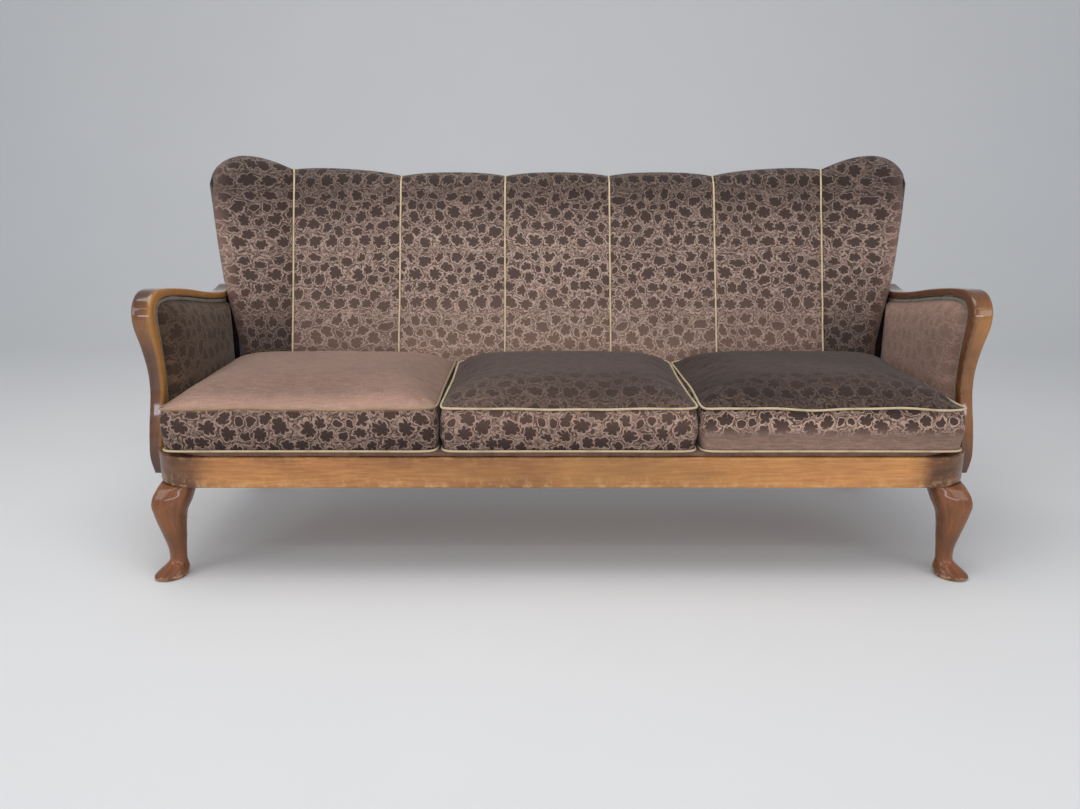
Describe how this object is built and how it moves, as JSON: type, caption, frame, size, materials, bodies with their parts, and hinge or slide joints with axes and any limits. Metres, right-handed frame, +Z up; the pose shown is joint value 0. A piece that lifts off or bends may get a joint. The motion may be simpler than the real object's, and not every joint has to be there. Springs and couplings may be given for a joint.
{
  "type": "cabriole sofa",
  "caption": "Three-seat sofa with cabriole front legs, bent show-wood arms, a channelled wing back with piping and loose box cushions.",
  "frame": {"origin": "on the floor, under the middle of the sofa's outline", "axes": "+X along the seat to the right seen from the front, +Y to the back, +Z up"},
  "size_m": [1.8812, 0.8239, 0.921],
  "materials": {
    "rail_wood": "honey-brown stained beech, satin varnish",
    "leg_wood": "red-brown stained beech, glossy varnish",
    "arm_wood": "red-brown to golden stained beech, glossy varnish",
    "frame_wood": "bare sawn beech",
    "velour": "brown damask velour with tone-on-tone leaves and flowers",
    "deck_cloth": "plain brown cotton",
    "piping": "beige twisted cord",
    "gimp": "grey-green flat braid",
    "webbing": "jute webbing",
    "steel": "zinc-plated"
  },
  "bodies": {
    "frame": {"front_rail": "rail_wood", "side_rail_left": "rail_wood", "side_rail_right": "rail_wood", "back_rail": "rail_wood", "cross_rail": "frame_wood", "corner_blocks": "frame_wood", "front_leg_left": "leg_wood", "front_leg_right": "leg_wood", "back_leg_left": "leg_wood", "back_leg_right": "leg_wood", "leg_bolts": "steel", "arm_left": "arm_wood", "arm_right": "arm_wood", "arm_post_left": "frame_wood", "arm_post_right": "frame_wood", "arm_bolts": "steel", "arm_pad_left": "velour", "arm_pad_right": "velour", "arm_panel_left": "velour", "arm_panel_right": "velour", "arm_gimp_left": "gimp", "arm_gimp_right": "gimp", "back_post_left": "frame_wood", "back_post_right": "frame_wood", "back_top_rail": "frame_wood", "back_lower_rail": "frame_wood", "back_stiles": "frame_wood", "wing_frame_left": "frame_wood", "wing_frame_right": "frame_wood", "back_webbing": "webbing", "back_outer_cover": "velour", "wing_left": "velour", "back_channel_1": "velour", "back_channel_2": "velour", "back_channel_3": "velour", "back_channel_4": "velour", "back_channel_5": "velour", "wing_right": "velour", "back_piping": "piping", "seat_webbing": "webbing", "seat_deck": "deck_cloth"},
    "cushion_left": {"seat_cushion_left": "velour", "cushion_piping_left": "piping"},
    "cushion_middle": {"seat_cushion_middle": "velour", "cushion_piping_middle": "piping"},
    "cushion_right": {"seat_cushion_right": "velour", "cushion_piping_right": "piping"}
  },
  "joints": [
    {"name": "lift_left_cushion", "type": "slide", "parent": "frame", "child": "cushion_left", "axis": [0, -0.45, 0.893], "range_m": [0, 0.25]},
    {"name": "lift_middle_cushion", "type": "slide", "parent": "frame", "child": "cushion_middle", "axis": [0, -0.45, 0.893], "range_m": [0, 0.25]},
    {"name": "lift_right_cushion", "type": "slide", "parent": "frame", "child": "cushion_right", "axis": [0, -0.45, 0.893], "range_m": [0, 0.25]}
  ]
}
